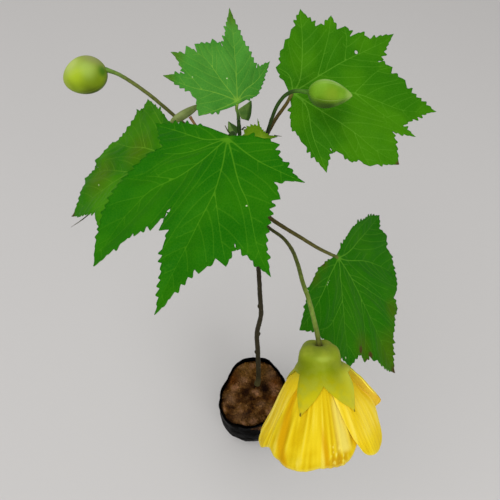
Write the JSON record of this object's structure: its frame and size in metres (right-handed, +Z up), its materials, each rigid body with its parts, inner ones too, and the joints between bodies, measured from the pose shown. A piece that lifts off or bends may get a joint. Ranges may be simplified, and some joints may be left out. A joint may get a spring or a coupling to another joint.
{
  "type": "potted abutilon",
  "caption": "Young abutilon in a small black nursery bag of soil: thin stem, lobed toothed leaves on long stalks, a hanging yellow bell flower and round flower buds.",
  "frame": {"origin": "middle of the nursery bag's flat underside", "axes": "+Z up along the stem, -Y towards the side that the open flower hangs on, +X to the right as seen from that side"},
  "size_m": [0.2173, 0.217, 0.4304],
  "materials": {
    "bag_film": "satin",
    "soil": "matte",
    "bark": "matte",
    "stalk": "satin",
    "leaf": "satin",
    "young_leaf": "satin",
    "calyx": "satin",
    "petal": "satin"
  },
  "bodies": {
    "root": {"bag": "bag_film", "soil": "soil", "stem": "bark", "stalk_front": "stalk", "stalk_left": "stalk", "stalk_right": "stalk", "stalk_low": "stalk", "stalk_top": "stalk", "stalk_folded": "stalk", "stalk_small": "stalk", "flower_stalk": "stalk", "bud_stalk_left": "stalk", "bud_stalk_right": "stalk", "leaf_front": "leaf", "leaf_left": "leaf", "leaf_right": "leaf", "leaf_low": "leaf", "leaf_top": "young_leaf", "leaf_small": "young_leaf", "folded_leaf": "young_leaf", "tip_bud": "young_leaf", "side_bud": "young_leaf", "bud_left": "calyx", "bud_right": "calyx", "calyx": "calyx", "petal_1": "petal", "petal_2": "petal", "petal_3": "petal", "petal_4": "petal", "petal_5": "petal", "stamen_column": "petal"}
  },
  "joints": []
}
